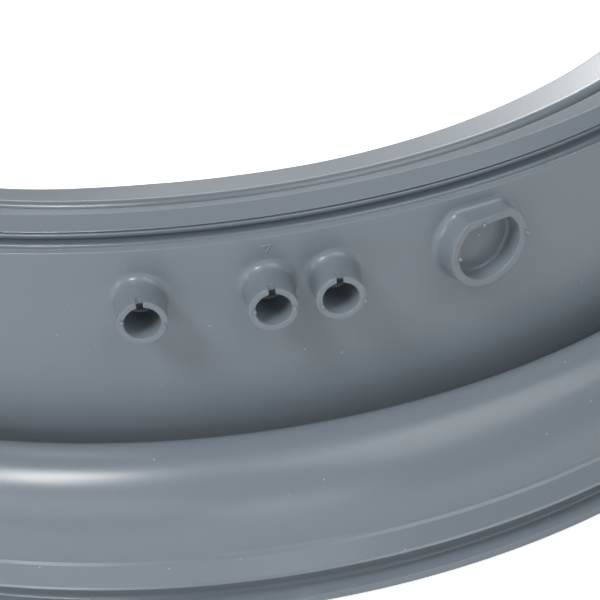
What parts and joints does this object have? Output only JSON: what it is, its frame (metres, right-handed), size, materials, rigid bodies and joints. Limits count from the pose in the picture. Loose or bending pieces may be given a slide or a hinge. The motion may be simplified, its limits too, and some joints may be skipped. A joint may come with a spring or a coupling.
{
  "type": "washing machine door seal",
  "caption": "Moulded grey rubber door seal for a front-loading washing machine: a bellows ring with notched spigots and a D-shaped boss.",
  "frame": {"origin": "centre of the ring's foot on the tub side", "axes": "+Z along the ring's axis towards the cabinet side; the three spigots point along -Y"},
  "size_m": [0.4178, 0.4178, 0.0797],
  "materials": {
    "rubber": "satin"
  },
  "bodies": {
    "root": {"door_seal": "rubber"}
  },
  "joints": []
}
